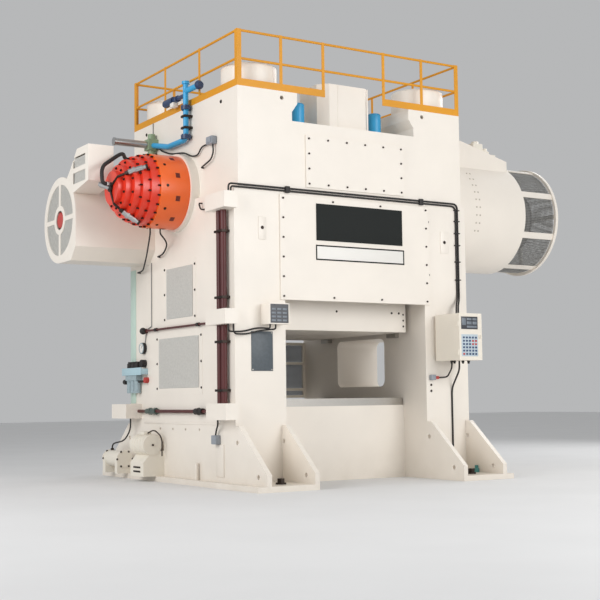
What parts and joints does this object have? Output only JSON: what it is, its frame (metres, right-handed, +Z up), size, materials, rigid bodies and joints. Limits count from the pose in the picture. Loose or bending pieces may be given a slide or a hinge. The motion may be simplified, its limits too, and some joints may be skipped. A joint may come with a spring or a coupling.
{
  "type": "mechanical stamping press",
  "caption": "Straight-side mechanical stamping press with a crank-driven slide between uprights, a mesh-guarded flywheel, an end brake, a rear motor and a railed crown.",
  "frame": {"origin": "on the floor, below the middle of the frame, on the underside of the bed's centre rib", "axes": "+X to the right along the front and along the eccentric shaft, +Y to the back, +Z up"},
  "size_m": [9.044, 5.71, 7.1],
  "materials": {
    "cream_paint": "smooth cream enamel",
    "yellow_paint": "gloss safety yellow",
    "orange_paint": "gloss orange enamel",
    "red_paint": "red enamel",
    "red_brown_paint": "red-brown enamel",
    "blue_paint": "blue enamel",
    "green_paint": "green enamel",
    "grey_paint": "grey enamel",
    "box_paint": "fine textured light grey",
    "mesh_grey": "light grey mesh",
    "machined_steel": "ground steel",
    "dark_steel": "black-oxide steel",
    "cast_iron": "machined grey iron",
    "bronze": "bearing bronze",
    "silver": "satin aluminium",
    "black_rubber": "matt black",
    "service_plastic": "pale blue-grey plastic"
  },
  "bodies": {
    "frame": {"left_upright": "cream_paint", "right_upright": "cream_paint", "crown": "cream_paint", "bed": "cream_paint", "front_cover": "cream_paint", "upper_front_cover": "cream_paint", "rear_cover": "cream_paint", "centre_housing": "cream_paint", "tie_rod_nuts": "cream_paint", "brake_mount": "cream_paint", "motor_hood": "cream_paint", "motor_hood_face": "cream_paint", "flywheel_housing": "cream_paint", "flywheel_guard_cage": "cream_paint", "junction_boxes": "cream_paint", "pipe_clamps": "cream_paint", "indicator_panel": "cream_paint", "guard_rail": "yellow_paint", "brake_housing": "orange_paint", "oil_pipes": "red_brown_paint", "air_pipe": "blue_paint", "balance_cylinders": "blue_paint", "brake_valve": "green_paint", "lube_motor": "grey_paint", "lube_pump": "grey_paint", "control_box": "box_paint", "rear_guard": "box_paint", "side_screens": "mesh_grey", "motor_hood_screen": "mesh_grey", "flywheel_guard_mesh": "mesh_grey", "bolster": "machined_steel", "slide_gibs": "machined_steel", "tie_rods": "machined_steel", "flywheel_quill": "machined_steel", "cover_bolts": "dark_steel", "brake_bolts": "dark_steel", "anchor_bolts": "dark_steel", "control_box_hinges": "dark_steel", "motor_stator": "cast_iron", "shaft_bushes": "bronze", "exhaust_silencer": "silver", "brake_hose": "black_rubber", "drive_belts": "black_rubber", "wiring_leads": "black_rubber", "air_service_unit": "service_plastic"},
    "crank": {"eccentric_shaft": "machined_steel", "brake_disc": "cast_iron", "clutch_hub": "cast_iron"},
    "left_rod": {"left_connecting_rod": "machined_steel", "left_rod_cap": "machined_steel"},
    "right_rod": {"right_connecting_rod": "machined_steel", "right_rod_cap": "machined_steel"},
    "slide": {"slide": "cream_paint", "ball_pads": "machined_steel", "balance_rods": "machined_steel"},
    "flywheel": {"flywheel": "cast_iron", "clutch_housing": "cast_iron"},
    "motor_rotor": {"back_shaft": "machined_steel", "motor_fan": "red_paint"},
    "control_door": {"control_box_door": "box_paint"}
  },
  "joints": [
    {"name": "crank_turn", "type": "hinge", "parent": "frame", "child": "crank", "pos_m": [0, 0, 4.78], "axis": [1, 0, 0], "range_deg": [0, 180]},
    {"name": "left_rod_swing", "type": "hinge", "parent": "crank", "child": "left_rod", "pos_m": [-0.8, 0, 4.905], "axis": [1, 0, 0], "range_deg": [-180, 0]},
    {"name": "right_rod_swing", "type": "hinge", "parent": "crank", "child": "right_rod", "pos_m": [0.8, 0, 4.905], "axis": [1, 0, 0], "range_deg": [-180, 0]},
    {"name": "slide_travel", "type": "slide", "parent": "frame", "child": "slide", "axis": [0, 0, 1], "range_m": [-0.25, 0]},
    {"name": "flywheel_spin", "type": "hinge", "parent": "frame", "child": "flywheel", "pos_m": [0, 0, 4.78], "axis": [1, 0, 0], "continuous": true},
    {"name": "motor_spin", "type": "hinge", "parent": "frame", "child": "motor_rotor", "pos_m": [0, 1.64, 4.45], "axis": [1, 0, 0], "continuous": true},
    {"name": "control_door_swing", "type": "hinge", "parent": "frame", "child": "control_door", "pos_m": [1.5287, -2.594, 2.33], "axis": [0, 0, -1], "range_deg": [0, 110]}
  ],
  "couplings": [
    {"joint": "left_rod_swing", "follows": "crank_turn", "ratio": -1},
    {"joint": "right_rod_swing", "follows": "crank_turn", "ratio": -1},
    {"joint": "slide_travel", "follows": "crank_turn", "m_per_rad": -0.0795},
    {"joint": "motor_spin", "follows": "flywheel_spin", "ratio": 4.153}
  ]
}
